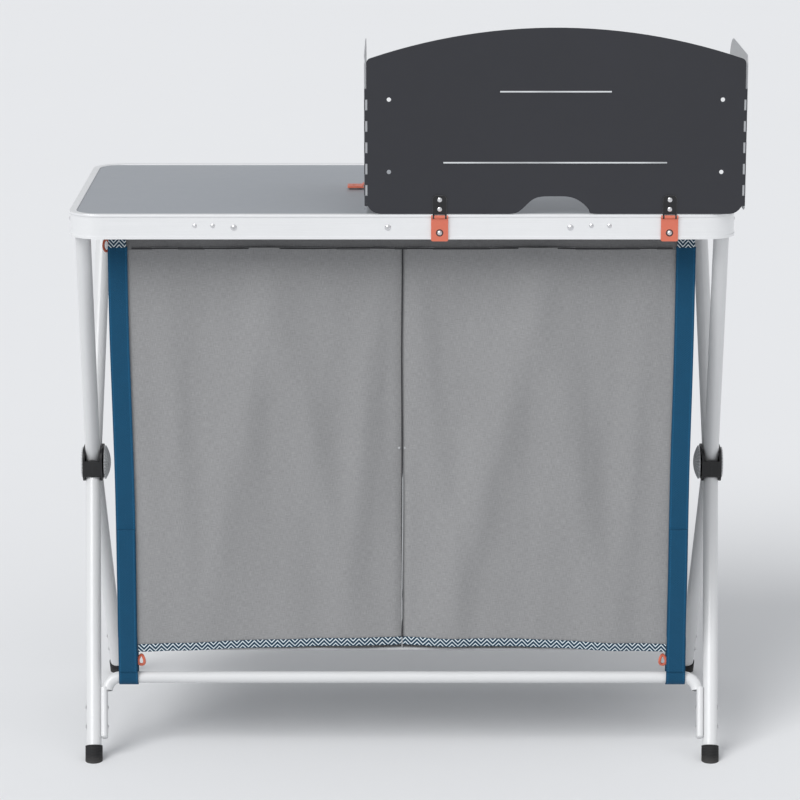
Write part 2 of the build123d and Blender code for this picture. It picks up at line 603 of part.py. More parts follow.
def local_tab(length, hole_drop):
    """The tab, pointing out along -Y from the hinge line, with its screw hole."""
    tab = block(-TAB_WIDTH / 2, TAB_WIDTH / 2, -length, 0, 0.1 - TAB_THICKNESS, 0.1)
    tab = fillet([edge for edge in tab.edges().filter_by(Axis.Z) if edge.center().Y < -20], 2.5)
    tab += cross_pin(-TAB_WIDTH / 2, TAB_WIDTH / 2, 0, 0, TAB_BARREL + 0.1)
    for side in (-1, 1):
        x0, x1 = sorted((side * (EAR_INNER - 0.3), side * (EAR_OUTER + 0.3)))
        tab -= block(x0, x1, -TAB_BARREL - 0.5, TAB_BARREL + 1, -4, 4)
    tab -= rod((0, -hole_drop, -6), (0, -hole_drop, 6), 2.6)
    return tab - cross_pin(-20, 20, 0, 0, TAB_PIN + RUNNING_CLEARANCE)


def local_pin():
    return cross_pin(-TAB_WIDTH / 2, TAB_WIDTH / 2, 0, 0, TAB_PIN)


front_places = [Location((x, TAB_AXIS_Y, TAB_AXIS_Z)) for x in tab_x]
WING_AXIS_Z = WING_BOTTOM_Z - 0.7
left_out_x = LEFT_HINGE_X - KNUCKLE_RADIUS - LOCAL_WALL_Y
right_out_x = RIGHT_HINGE_X + KNUCKLE_RADIUS + LOCAL_WALL_Y
left_place = Location((left_out_x, WING_TAB_Y, WING_AXIS_Z), (0, 0, -90))
right_place = Location((right_out_x, WING_TAB_Y, WING_AXIS_Z), (0, 0, 90))
hang = Rot(90, 0, 0)
stow = Rot(-90, 0, 0)
tab_rivets = [local_rivet(height, SHEET) for height in RIVET_HEIGHTS]

left_wing = wing(LEFT_HINGE_X, -1)
right_wing = wing(RIGHT_HINGE_X, 1)
left_rivets = [left_place * rivet for rivet in tab_rivets]
right_rivets = [right_place * rivet for rivet in tab_rivets]
front_rivet_set = [place * rivet for place in front_places for rivet in tab_rivets]
back_panel = through(back_panel, front_rivet_set)
hinge_pin_low = KNUCKLE_BOTTOM_Z
hinge_pin_high = knuckle_z(KNUCKLE_COUNT)


def hinge_pin(x):
    return rod((x, HINGE_Y, hinge_pin_low), (x, HINGE_Y, hinge_pin_high), HINGE_PIN_RADIUS)


save("screen_back_panel", back_panel)
save("screen_wing_left", through(left_wing, left_rivets))
save("screen_wing_right", through(right_wing, right_rivets))
save("screen_hinge_pins", hinge_pin(LEFT_HINGE_X), hinge_pin(RIGHT_HINGE_X))
save("front_tab_brackets", *[place * local_bracket() for place in front_places])
front_tab = local_tab(TAB_LENGTH, SCREW_DROP)
save("front_tabs", *[place * hang * front_tab for place in front_places])
save("front_tab_pins", *[place * local_pin() for place in front_places])
save("front_tab_screws", *tab_screws)
save("front_tab_rivets", *front_rivet_set)
save("wing_tab_bracket_left", left_place * local_bracket())
save("wing_tab_bracket_right", right_place * local_bracket())
save("wing_tab_fasteners_left", *left_rivets, left_place * local_pin())
save("wing_tab_fasteners_right", *right_rivets, right_place * local_pin())
wing_tab = local_tab(WING_TAB_LENGTH, WING_TAB_LENGTH - 10)
save("wing_tab_left", left_place * wing_tab)
save("wing_tab_right", right_place * stow * wing_tab)

# ---- fabric cabinet: closed panel at the front, open to the cook behind ----------------------------------------------
half_w = CABINET_HALF_WIDTH
loop_inner = BAR_RADIUS + 0.6
loop_outer = loop_inner + STRAP_THICKNESS
bar_y = bar_leg_point.Y
half_d = loop_inner - bar_y
inner_w = half_w - CLOTH
MID_SHELF_Z = 455.0
FLOOR_Z = CABINET_BOTTOM_Z + 2.0

save("cabinet_closed_panel", block(-half_w, half_w, -half_d, -half_d + CLOTH, CABINET_BOTTOM_Z, CABINET_SEAM_Z))
save("cabinet_top_band", block(-half_w, half_w, -half_d, -half_d + CLOTH, CABINET_SEAM_Z, CABINET_TOP_Z),
     block(-inner_w, inner_w, half_d - CLOTH, half_d, CABINET_SEAM_Z, CABINET_TOP_Z))
side_panel = block(inner_w, half_w, -half_d + CLOTH, half_d, CABINET_BOTTOM_Z, CABINET_TOP_Z)
save("cabinet_side_right", side_panel)
save("cabinet_side_left", left_copy(side_panel))
save("cabinet_floor", block(-inner_w, inner_w, -half_d + CLOTH, half_d - 6, FLOOR_Z, FLOOR_Z + BOARD))
save("cabinet_divider", block(-CLOTH / 2, CLOTH / 2, -half_d + CLOTH, half_d - 6, FLOOR_Z + BOARD, CABINET_SEAM_Z))
shelf = block(CLOTH / 2, inner_w, -half_d + CLOTH, half_d - 14, MID_SHELF_Z, MID_SHELF_Z + BOARD)
save("cabinet_shelves", shelf, left_copy(shelf))
HEM_HEIGHT = 9.0
hem_end = STRAP_X - STRAP_WIDTH / 2
save("cabinet_hem_binding", block(-hem_end, hem_end, -half_d - 1.2, -half_d,
                                  CABINET_BOTTOM_Z, CABINET_BOTTOM_Z + HEM_HEIGHT))

# Corner straps: down the front, round the crossbar and up to the cabinet's floor


def strap(x, top_z):
    """A flat strap with a loop round the crossbar, as a profile in Y and Z pushed along X."""
    outer_arc = rod((x, bar_y, BAR_Z), (x + STRAP_WIDTH, bar_y, BAR_Z), loop_outer, loop_inner)
    cup = outer_arc & block(x, x + STRAP_WIDTH, bar_y - 30, bar_y + 30, BAR_Z - 30, BAR_Z)
    front = block(x, x + STRAP_WIDTH, bar_y - loop_outer, bar_y - loop_inner, BAR_Z, top_z)
    back = block(x, x + STRAP_WIDTH, bar_y + loop_inner, bar_y + loop_outer, BAR_Z, CABINET_BOTTOM_Z)
    return cup + front + back


front_strap = strap(STRAP_X - STRAP_WIDTH / 2, CABINET_SEAM_Z - 2)
rear_strap = rear_copy(strap(STRAP_X - STRAP_WIDTH / 2, CABINET_SEAM_Z - 2))
save("front_corner_straps", front_strap, left_copy(front_strap))
save("rear_corner_straps", rear_strap, left_copy(rear_strap))

# Elastic ties: two from the hem to the crossbar and one at the cabinet's top left corner
ELASTIC_X = 382.0
elastic = block(ELASTIC_X - 4, ELASTIC_X + 4, -half_d + CLOTH + 1, -half_d + CLOTH + 3.5,
                BAR_Z + BAR_RADIUS + 0.5, CABINET_BOTTOM_Z)
top_tie = block(half_w + 0.5, half_w + 12.0, -half_d + 2, -half_d + 10, CABINET_SEAM_Z - 8, CABINET_TOP_Z - 4)
ties = [elastic, left_copy(elastic)]
save("hem_elastics", *ties)
save("top_corner_tie", left_copy(top_tie))
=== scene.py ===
import math

import bpy
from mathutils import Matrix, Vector, noise


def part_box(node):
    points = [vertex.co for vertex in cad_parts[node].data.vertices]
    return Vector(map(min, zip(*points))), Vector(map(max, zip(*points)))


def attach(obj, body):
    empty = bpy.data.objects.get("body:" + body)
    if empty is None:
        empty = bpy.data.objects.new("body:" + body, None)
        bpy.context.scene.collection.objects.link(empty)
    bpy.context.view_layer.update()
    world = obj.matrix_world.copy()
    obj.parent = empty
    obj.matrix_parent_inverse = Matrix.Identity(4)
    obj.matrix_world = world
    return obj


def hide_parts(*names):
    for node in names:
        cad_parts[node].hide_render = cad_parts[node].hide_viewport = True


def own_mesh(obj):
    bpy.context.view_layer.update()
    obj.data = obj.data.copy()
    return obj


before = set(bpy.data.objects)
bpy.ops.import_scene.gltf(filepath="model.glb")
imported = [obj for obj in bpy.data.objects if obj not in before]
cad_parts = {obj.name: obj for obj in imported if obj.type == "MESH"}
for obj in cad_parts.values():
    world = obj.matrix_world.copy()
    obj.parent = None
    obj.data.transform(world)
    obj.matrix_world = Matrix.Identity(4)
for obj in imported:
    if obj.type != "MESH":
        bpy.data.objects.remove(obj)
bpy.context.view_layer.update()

bl_info = {
    "name": "Camp kitchen table looks",
    "version": (1, 0, 0),
    "blender": (4, 5, 0),
    "location": "View3D > Sidebar > Camp Table",
    "description": "Dresses the folding camp kitchen table: metals, plastics, sewn cabinet and stage",
    "category": "Object",
}

ROOT = "rear_lower_frame"


def color_property(name, text, value):
    return bpy.props.FloatVectorProperty(name=name, description=text, subtype="COLOR", size=3,
                                         min=0.0, max=1.0, default=value)


def length_property(name, text, value):
    return bpy.props.FloatProperty(name=name, description=text, unit="LENGTH", subtype="DISTANCE",
                                   min=0.0, default=value)


class CampTableColors(bpy.types.PropertyGroup):
    laminate: color_property("Worktop", "Matt blue-grey worktop sheet", (0.300, 0.318, 0.345))
    aluminium: color_property("Rim", "Satin edge profile", (0.90, 0.905, 0.91))
    white_paint: color_property("Legs", "White leg paint", (0.70, 0.705, 0.71))
    charcoal: color_property("Screen", "Dark wind screen paint", (0.021, 0.022, 0.028))
    screen_inside: color_property("Screen inside", "Light face towards the stove", (0.42, 0.43, 0.44))
    black: color_property("Black parts", "Hubs and brackets", (0.008, 0.008, 0.009))
    cap_grey: color_property("Hub cap", "Light grey moulding", (0.66, 0.67, 0.68))
    orange: color_property("Tabs", "Coral tabs and elastic", (0.68, 0.165, 0.10))
    cloth: color_property("Cabinet cloth", "Mid grey woven cloth", (0.290, 0.290, 0.293))
    lining: color_property("Cabinet lining", "Light grey coated cloth", (0.44, 0.45, 0.46))
    strap: color_property("Webbing", "Petrol blue webbing", (0.0035, 0.060, 0.128))
    seam: color_property("Seam thread", "Dark thread of the seams", (0.035, 0.035, 0.038))
    tape: color_property("Binding", "Dark half of the herringbone tape", (0.004, 0.034, 0.068))
    cord: color_property("Thin cord", "Tan cord above the loop", (0.45, 0.33, 0.22))
    floor: color_property("Floor", "Pale studio floor", (0.80, 0.805, 0.815))


class CampTableSizes(bpy.types.PropertyGroup):
    cloth_thickness: length_property("Cloth thickness", "Thickness of the cabinet's cloth", 0.0012)
    billow: length_property("Billow", "How far the front panel swells between its seams", 0.006)
    hem_rise: length_property("Hem rise", "How much higher the hem is at the middle", 0.012)
    tape_height: length_property("Hem tape height", "Height of the herringbone tape", 0.0115)
    strap_width: length_property("Strap width", "Width of the corner straps", 0.028)
    strap_thickness: length_property("Strap thickness", "Thickness of the webbing", 0.0018)
    roll_radius: length_property("Door roll radius", "Radius of a rolled-up door", 0.015)


def colors():
    return bpy.context.scene.camp_table_colors


def sizes():
    return bpy.context.scene.camp_table_sizes


# ---- shader graph helpers -------------------------------------------------------------------------------

class Graph:
    """Adds nodes to one node tree, left to right."""

    def __init__(self, tree):
        self.tree = tree

    def node(self, kind, **values):
        made = self.tree.nodes.new(kind)
        made.location = (220 * (len(self.tree.nodes) % 9), -180 * (len(self.tree.nodes) // 9))
        for key, value in values.items():
            setattr(made, key, value)
        return made

    def feed(self, value, socket):
        if hasattr(value, "links"):
            self.tree.links.new(value, socket)
        else:
            socket.default_value = value

    def math(self, operation, *values, clamp=False):
        made = self.node("ShaderNodeMath", operation=operation, use_clamp=clamp)
        for value, socket in zip(values, made.inputs):
            self.feed(value, socket)
        return made.outputs[0]

    def group(self, name, **values):
        made = self.node("ShaderNodeGroup", node_tree=bpy.data.node_groups[name])
        for key, value in values.items():
            self.feed(value, made.inputs[key.replace("_", " ")])
        return made.outputs

    def noise(self, vector, scale, detail=3.0, rough=0.55):
        made = self.node("ShaderNodeTexNoise")
        self.feed(vector, made.inputs["Vector"])
        self.feed(scale, made.inputs["Scale"])
        made.inputs["Detail"].default_value = detail
        made.inputs["Roughness"].default_value = rough
        return made.outputs["Fac"]

    def stretched(self, vector, scale):
        made = self.node("ShaderNodeVectorMath", operation="MULTIPLY")
        self.feed(vector, made.inputs[0])
        self.feed(scale, made.inputs[1])
        return made.outputs[0]

    def parts(self, vector):
        made = self.node("ShaderNodeSeparateXYZ")
        self.feed(vector, made.inputs[0])
        return made.outputs

    def span(self, value, low, high, to_low=0.0, to_high=1.0, smooth=False):
        made = self.node("ShaderNodeMapRange", interpolation_type="SMOOTHSTEP" if smooth else "LINEAR")
        for key, number in (("Value", value), ("From Min", low), ("From Max", high),
                            ("To Min", to_low), ("To Max", to_high)):
            self.feed(number, made.inputs[key])
        return made.outputs[0]

    def mix(self, factor, first, second, blend="MIX"):
        made = self.node("ShaderNodeMix", data_type="RGBA", blend_type=blend)
        self.feed(factor, made.inputs["Factor"])
        for value, socket in ((first, made.inputs[6]), (second, made.inputs[7])):
            self.feed(value if hasattr(value, "links") else (*value, 1.0), socket)
        return made.outputs[2]

    def bump(self, height, distance, strength=1.0, normal=None):
        made = self.node("ShaderNodeBump")
        self.feed(height, made.inputs["Height"])
        made.inputs["Distance"].default_value = distance
        self.feed(strength, made.inputs["Strength"])
        if normal:
            self.feed(normal, made.inputs["Normal"])
        return made.outputs[0]


def new_group(name, inputs, outputs):
    """A shader node group with named sockets; returns its graph, input sockets and output node."""
    tree = bpy.data.node_groups.new(name, "ShaderNodeTree")
    for label, kind in inputs:
        tree.interface.new_socket(label, in_out="INPUT", socket_type="NodeSocket" + kind)
    for label, kind in outputs:
        tree.interface.new_socket(label, in_out="OUTPUT", socket_type="NodeSocket" + kind)
    graph = Graph(tree)
    entry = graph.node("NodeGroupInput")
    leave = graph.node("NodeGroupOutput")
    return graph, entry.outputs, leave.inputs


def group_uneven():
    """Slow and fine changes of brightness over a surface."""
    given_sockets = (("Vector", "Vector"), ("Color", "Color"), ("Scale", "Float"), ("Amount", "Float"))
    graph, given, out = new_group("Uneven tone", given_sockets, (("Color", "Color"), ("Value", "Float")))
    slow = graph.noise(given["Vector"], given["Scale"], 3.0)
    fine = graph.noise(given["Vector"], graph.math("MULTIPLY", given["Scale"], 14.0), 4.0)
    both = graph.math("ADD", graph.math("MULTIPLY", slow, 0.65), graph.math("MULTIPLY", fine, 0.35))
    swing = graph.math("MULTIPLY", graph.math("SUBTRACT", both, 0.5), given["Amount"])
    tone = graph.math("ADD", 1.0, swing)
    scaled = graph.node("ShaderNodeVectorMath", operation="SCALE")
    graph.feed(given["Color"], scaled.inputs[0])
    graph.feed(tone, scaled.inputs["Scale"])
    graph.feed(scaled.outputs[0], out["Color"])
    graph.feed(both, out["Value"])


def group_edges():
    """Lighter outer edges, partly rubbed wear and partly a painted edge highlight: rounded edges within a width,
    broken up by noise.
    """
    graph, given, out = new_group("Edge highlight and wear", (("Vector", "Vector"),), (("Mask", "Float"),))
    bevel = graph.node("ShaderNodeBevel", samples=3)
    bevel.inputs["Radius"].default_value = 0.0008
    geometry = graph.node("ShaderNodeNewGeometry")
    dot = graph.node("ShaderNodeVectorMath", operation="DOT_PRODUCT")
    graph.feed(bevel.outputs[0], dot.inputs[0])
    graph.feed(geometry.outputs["Normal"], dot.inputs[1])
    edge = graph.span(dot.outputs["Value"], 0.995, 0.90)
    broken = graph.span(graph.noise(given["Vector"], 160.0, 4.0), 0.30, 0.6, 0.35, 1.0)
    graph.feed(graph.math("MULTIPLY", edge, broken, clamp=True), out["Mask"])


def group_grain():
    """Fine parallel lines of brushed or drawn metal."""
    graph, given, out = new_group("Drawn grain", (("Vector", "Vector"), ("Stretch", "Vector")),
                                  (("Value", "Float"),))
    lines = graph.noise(graph.stretched(given["Vector"], given["Stretch"]), 1.0, 5.0, 0.7)
    graph.feed(lines, out["Value"])


def group_weave():
    """Plain weave: crossing threads with thick and thin places."""
    given_sockets = (("Across", "Float"), ("Along", "Float"), ("Thread", "Float"))
    graph, given, out = new_group("Plain weave", given_sockets, (("Height", "Float"), ("Shade", "Float")))
    turn = graph.math("DIVIDE", 2 * math.pi, given["Thread"])
    wave_a = graph.math("SINE", graph.math("MULTIPLY", given["Across"], turn))
    wave_b = graph.math("SINE", graph.math("MULTIPLY", given["Along"], turn))
    over = graph.span(graph.math("MULTIPLY", wave_a, wave_b), -1.0, 1.0)
    joined = graph.node("ShaderNodeCombineXYZ")
    graph.feed(given["Across"], joined.inputs[0])
    graph.feed(given["Along"], joined.inputs[1])
    warp = graph.noise(graph.stretched(joined.outputs[0], (1500.0, 110.0, 1.0)), 1.0, 2.0)
    weft = graph.noise(graph.stretched(joined.outputs[0], (110.0, 1500.0, 1.0)), 1.0, 2.0)
    graph.feed(over, out["Height"])
    half_warp = graph.math("MULTIPLY", warp, 0.5)
    graph.feed(graph.math("ADD", half_warp, graph.math("MULTIPLY", weft, 0.5)), out["Shade"])


def group_chevron():
    """Zigzag stripes, as in herringbone tape and webbing."""
    graph, given, out = new_group("Chevron", (("Across", "Float"), ("Along", "Float"), ("Column", "Float"),
                                              ("Pitch", "Float")), (("Mask", "Float"), ("Height", "Float")))
    column = graph.math("PINGPONG", given["Across"], given["Column"])
    slanted = graph.math("ADD", given["Along"], column)
    turn = graph.math("DIVIDE", 2 * math.pi, given["Pitch"])
    wave = graph.math("SINE", graph.math("MULTIPLY", slanted, turn))
    graph.feed(graph.span(wave, -0.70, -0.35), out["Mask"])
    graph.feed(graph.span(wave, -1.0, 1.0), out["Height"])


def group_stitch():
    """A dashed line of stitches at one place across a strip."""
    graph, given, out = new_group("Stitch line", (("Across", "Float"), ("Along", "Float"), ("Place", "Float"),
                                                  ("Pitch", "Float")), (("Mask", "Float"),))
    away = graph.math("ABSOLUTE", graph.math("SUBTRACT", given["Across"], given["Place"]))
    line = graph.math("LESS_THAN", away, 0.0006)
    step = graph.math("FRACT", graph.math("DIVIDE", given["Along"], given["Pitch"]))
    dash = graph.math("LESS_THAN", step, 0.68)
    graph.feed(graph.math("MULTIPLY", line, dash), out["Mask"])


def new_material(name):
    """A material with one Principled shader, its graph, its shader and its texture coordinates."""
    material = bpy.data.materials.new(name)
    material.use_nodes = True
    tree = material.node_tree
    tree.nodes.clear()
    graph = Graph(tree)
    end = graph.node("ShaderNodeOutputMaterial")
    shader = graph.node("ShaderNodeBsdfPrincipled")
    tree.links.new(shader.outputs[0], end.inputs["Surface"])
    return material, graph, shader, graph.node("ShaderNodeTexCoord").outputs


def solid_material(name, color, rough, metal=0.0, scale=9.0, amount=0.12, grain=None, bump_scale=900.0,
                   bump_depth=0.0, edge=None, coat=0.0):
    """Paint, plastic or metal with uneven tone, fine bumps, drawn grain and lighter edges (rubbed wear with a
    painted edge highlight).
    """
    material, graph, shader, place = new_material(name)
    spot = place["Object"]
    tone = graph.group("Uneven tone", Vector=spot, Color=(*color, 1.0), Scale=scale, Amount=amount)
    tint = tone["Color"]
    gloss = graph.span(tone["Value"], 0.3, 0.7, rough - 0.05, rough + 0.06)
    normal = None
    if grain:
        lines = graph.group("Drawn grain", Vector=spot, Stretch=grain)["Value"]
        tint = graph.mix(graph.span(lines, 0.3, 0.7, 0.0, 0.35), tint, [c * 0.80 for c in color])
        normal = graph.bump(lines, 0.00004)
    if bump_depth:
        normal = graph.bump(graph.noise(spot, bump_scale, 2.0), bump_depth, normal=normal)
    # Lighter edges: partly rubbed wear, partly a painted edge highlight.
    if edge:
        mask = graph.group("Edge highlight and wear", Vector=spot)["Mask"]
        tint = graph.mix(graph.math("MULTIPLY", mask, 0.8), tint, edge)
    graph.feed(tint, shader.inputs["Base Color"])
    graph.feed(gloss, shader.inputs["Roughness"])
    shader.inputs["Metallic"].default_value = metal
    shader.inputs["Coat Weight"].default_value = coat
    if normal:
        graph.feed(normal, shader.inputs["Normal"])
    return material


def cloth_material(name, color, thread=0.0014, amount=0.22, bump=0.00024, rough=0.85, fold_scale=7.0):
    """Woven cloth that reads the piece's own flat coordinates."""
    material, graph, shader, place = new_material(name)
    flat = graph.parts(place["UV"])
    weave = graph.group("Plain weave", Across=flat[0], Along=flat[1], Thread=thread)
    tone = graph.group("Uneven tone", Vector=place["UV"], Color=(*color, 1.0), Scale=fold_scale, Amount=0.14)
    shade = graph.span(weave["Shade"], 0.3, 0.7, 1.0 - amount, 1.0 + amount)
    lit = graph.node("ShaderNodeVectorMath", operation="SCALE")
    graph.feed(tone["Color"], lit.inputs[0])
    graph.feed(shade, lit.inputs["Scale"])
    graph.feed(lit.outputs[0], shader.inputs["Base Color"])
    shader.inputs["Roughness"].default_value = rough
    shader.inputs["Sheen Weight"].default_value = 0.25
    shader.inputs["Sheen Roughness"].default_value = 0.5
    shader.inputs["Specular IOR Level"].default_value = 0.25
    both = graph.math("ADD", weave["Height"], graph.math("MULTIPLY", weave["Shade"], 0.8))
    graph.feed(graph.bump(both, bump, 0.6), shader.inputs["Normal"])
    return material


def webbing_material(name, color, width):
    """Ribbed webbing with a stitch line inside each edge."""
    material, graph, shader, place = new_material(name)
    flat = graph.parts(place["UV"])
    rib = graph.group("Chevron", Across=flat[0], Along=flat[1], Column=0.0022, Pitch=0.0026)
    tone = graph.group("Uneven tone", Vector=place["UV"], Color=(*color, 1.0), Scale=30.0, Amount=0.5)
    tint = graph.mix(graph.math("MULTIPLY", rib["Height"], 0.5), tone["Color"],
                     [c * 1.5 + 0.002 for c in color])
    for inset in (0.0026, width - 0.0026):
        stitch = graph.group("Stitch line", Across=flat[0], Along=flat[1], Place=inset, Pitch=0.0036)["Mask"]
        tint = graph.mix(graph.math("MULTIPLY", stitch, 0.55), tint, [c * 2.2 + 0.010 for c in color])
    graph.feed(tint, shader.inputs["Base Color"])
    shader.inputs["Roughness"].default_value = 0.80
    shader.inputs["Specular IOR Level"].default_value = 0.25
    shader.inputs["Sheen Weight"].default_value = 0.05
    graph.feed(graph.bump(rib["Height"], 0.00035), shader.inputs["Normal"])
    return material


def herringbone_material(name, dark):
    """Two-tone herringbone tape."""
    material, graph, shader, place = new_material(name)
    flat = graph.parts(place["UV"])
    zigzag = graph.group("Chevron", Across=flat[0], Along=flat[1], Column=0.0085, Pitch=0.0058)
    weave = graph.group("Plain weave", Across=flat[0], Along=flat[1], Thread=0.0009)
    light = graph.mix(weave["Height"], (0.62, 0.70, 0.73), (0.74, 0.81, 0.84))
    tint = graph.mix(zigzag["Mask"], light, dark)
    graph.feed(tint, shader.inputs["Base Color"])
    shader.inputs["Roughness"].default_value = 0.85
    graph.feed(graph.bump(zigzag["Height"], 0.0003), shader.inputs["Normal"])
    return material


def two_face_material(name, outside, inside, axis, facing, crest=None):
    """Screen sheet: dark outside, light towards the stove, bare cut edges and a painted highlight along the rib
    crests.
    """
    material, graph, shader, place = new_material(name)
    across = graph.parts(place["Normal"])[axis]
    inner = graph.span(graph.math("MULTIPLY", across, facing), 0.45, 0.55)
    cut = graph.span(graph.math("ABSOLUTE", across), 0.50, 0.40)
    dark = graph.group("Uneven tone", Vector=place["Object"], Color=(*outside, 1.0), Scale=3.0, Amount=0.30)
    light = graph.group("Uneven tone", Vector=place["Object"], Color=(*inside, 1.0), Scale=4.0, Amount=0.15)
    paint = graph.mix(inner, dark["Color"], light["Color"])
    # Rib crests: a light colour painted along the front-most ribs as a highlight, broken up by noise.
    if crest is not None:
        height = graph.span(graph.parts(place["Object"])[1], crest + 0.00055, crest + 0.00025)
        sheen_and_wear = graph.span(graph.noise(place["Object"], 9.0, 2.0), 0.25, 0.55, 0.45, 0.95)
        painted_rib_highlight = graph.math("MULTIPLY", height, sheen_and_wear)
        paint = graph.mix(painted_rib_highlight, paint, (0.70, 0.72, 0.74))
    bare = graph.mix(graph.math("MULTIPLY", cut, 0.75), paint, (0.62, 0.63, 0.65))
    graph.feed(bare, shader.inputs["Base Color"])
    graph.feed(graph.span(dark["Value"], 0.3, 0.7, 0.36, 0.48), shader.inputs["Roughness"])
    graph.feed(graph.math("MULTIPLY", cut, 0.6), shader.inputs["Metallic"])
    graph.feed(graph.bump(graph.noise(place["Object"], 1400.0, 2.0), 0.00005), shader.inputs["Normal"])
    return material


def tab_material(name, color, ring_x, spread, ring_z):
    """Coral plastic with a dark washer round each screw."""
    material, graph, shader, place = new_material(name)
    tone = graph.group("Uneven tone", Vector=place["Object"], Color=(*color, 1.0), Scale=30.0, Amount=0.16)
    # Lighter edges: partly rubbed wear, partly a painted edge highlight.
    sheen_and_wear = graph.group("Edge highlight and wear", Vector=place["Object"])["Mask"]
    tint = graph.mix(graph.math("MULTIPLY", sheen_and_wear, 0.5), tone["Color"],
                     [min(1.0, c * 1.5 + 0.05) for c in color])
    parts = graph.parts(place["Object"])
    from_middle = graph.math("ABSOLUTE", graph.math("SUBTRACT", parts[0], ring_x))
    dx = graph.math("SUBTRACT", from_middle, spread)
    dz = graph.math("SUBTRACT", parts[2], ring_z)
    squares = graph.math("ADD", graph.math("MULTIPLY", dx, dx), graph.math("MULTIPLY", dz, dz))
    away = graph.math("SQRT", squares)
    tint = graph.mix(graph.span(away, 0.0054, 0.0049), tint, (0.02, 0.02, 0.02))
    graph.feed(graph.bump(graph.noise(place["Object"], 1100.0, 2.0), 0.00005), shader.inputs["Normal"])
    graph.feed(tint, shader.inputs["Base Color"])
    shader.inputs["Roughness"].default_value = 0.42
    shader.inputs["Subsurface Weight"].default_value = 0.05
    return material


def cap_material(name, color, center_z):
    """Light grey moulded cap with radial ribs and painted shade in the grooves between them."""
    material, graph, shader, place = new_material(name)
    parts = graph.parts(place["Object"])
    rise = graph.math("SUBTRACT", parts[2], center_z)
    angle = graph.math("ARCTAN2", parts[1], rise)
    away = graph.math("SQRT", graph.math("ADD", graph.math("MULTIPLY", parts[1], parts[1]),
                                         graph.math("MULTIPLY", rise, rise)))
    ribs = graph.span(graph.math("SINE", graph.math("MULTIPLY", angle, 30.0)), -0.4, 0.4)
    rim_only = graph.span(away, 0.011, 0.013)
    tone = graph.group("Uneven tone", Vector=place["Object"], Color=(*color, 1.0), Scale=30.0, Amount=0.14)
    # Grooves between the ribs darkened: painted shade.
    groove_shade = graph.math("MULTIPLY", graph.math("SUBTRACT", 1.0, ribs), rim_only)
    tint = graph.mix(graph.math("MULTIPLY", groove_shade, 0.35), tone["Color"], [c * 0.5 for c in color])
    graph.feed(tint, shader.inputs["Base Color"])
    shader.inputs["Roughness"].default_value = 0.48
    graph.feed(graph.bump(graph.math("MULTIPLY", ribs, rim_only), 0.0008), shader.inputs["Normal"])
    return material


def rubber_material(name, color):
    """Matt rubber with fine rings and dusty low edges."""
    material, graph, shader, place = new_material(name)
    parts = graph.parts(place["Object"])
    rings = graph.span(graph.math("SINE", graph.math("MULTIPLY", parts[2], 1700.0)), -0.5, 0.5)
    tone = graph.group("Uneven tone", Vector=place["Object"], Color=(*color, 1.0), Scale=45.0, Amount=0.5)
    dust = graph.math("MULTIPLY", graph.span(parts[2], 0.010, 0.0, 0.0, 0.35), tone["Value"])
    graph.feed(graph.mix(dust, tone["Color"], (0.20, 0.19, 0.18)), shader.inputs["Base Color"])
    shader.inputs["Roughness"].default_value = 0.75
    graph.feed(graph.bump(rings, 0.0005), shader.inputs["Normal"])
    return material


def paint_nodes(material, *names):
    """Puts one material on CAD nodes."""
    for name in names:
        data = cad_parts[name].data
        data.materials.clear()
        data.materials.append(material)


# ---- mesh helpers ------------------------------------------------------------------------------------------

def only(obj):
    bpy.ops.object.select_all(action="DESELECT")
    obj.select_set(True)
    bpy.context.view_layer.objects.active = obj


def grid_piece(name, across, along, width, length, place, thickness, material, offset=0.0, wrap=False):
    """A sheet of across by along faces; place(u, v) gives the point for u, v from 0 to 1.
    Its flat coordinates are in metres, from 0 to width and length."""
    bpy.ops.mesh.primitive_grid_add(x_subdivisions=across, y_subdivisions=along, size=2.0, calc_uvs=True,
                                    location=(0.0, 0.0, 0.0))
    obj = bpy.context.object
    obj.name = name
    obj.data.name = name
    for point in obj.data.uv_layers.active.data:
        point.uv = (point.uv[0] * width, point.uv[1] * length)
    for vertex in obj.data.vertices:
        vertex.co = place((vertex.co.x + 1.0) / 2.0, (vertex.co.y + 1.0) / 2.0)
    obj.data.materials.append(material)
    if wrap:
        only(obj)
        bpy.ops.object.mode_set(mode="EDIT")
        bpy.ops.mesh.select_all(action="SELECT")
        bpy.ops.mesh.remove_doubles(threshold=0.00002)
        bpy.ops.mesh.normals_make_consistent(inside=False)
        bpy.ops.object.mode_set(mode="OBJECT")
    if thickness:
        solid = obj.modifiers.new("thickness", "SOLIDIFY")
        solid.thickness = thickness
        solid.offset = offset
        only(obj)
        bpy.ops.object.modifier_apply(modifier=solid.name)
        only(obj)
        bpy.ops.object.mode_set(mode="EDIT")
        bpy.ops.mesh.select_all(action="SELECT")
        bpy.ops.mesh.normals_make_consistent(inside=False)
        bpy.ops.object.mode_set(mode="OBJECT")
    only(obj)
    bpy.ops.object.shade_smooth_by_angle(angle=math.radians(40))
    return obj


def tube_piece(name, path, radius, material, sides=12):
    """A round cord along a list of points."""
    rings = len(path) - 1

    def place(u, v):
        index = min(int(round(v * rings)), rings)
        here = path[index]
        forward = path[min(index + 1, rings)] - path[max(index - 1, 0)]
        forward.normalize()
        side = forward.cross(Vector((0.31, 0.92, 0.24))).normalized()
        up = side.cross(forward)
        turn = 2.0 * math.pi * u
        return here + (side * math.cos(turn) + up * math.sin(turn)) * radius

    return grid_piece(name, sides, rings, 2 * math.pi * radius, 0.1, place, 0.0, material, wrap=True)


def settle(obj, slot, *nodes):
    """A soft cabinet piece: rides on the rear frame, in place of the CAD nodes it hides."""
    if nodes:
        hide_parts(*nodes)
    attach(obj, ROOT)
    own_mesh(obj)
    return obj


def smooth_step(value, low, high):
    t = max(0.0, min(1.0, (value - low) / (high - low)))
    return t * t * (3.0 - 2.0 * t)


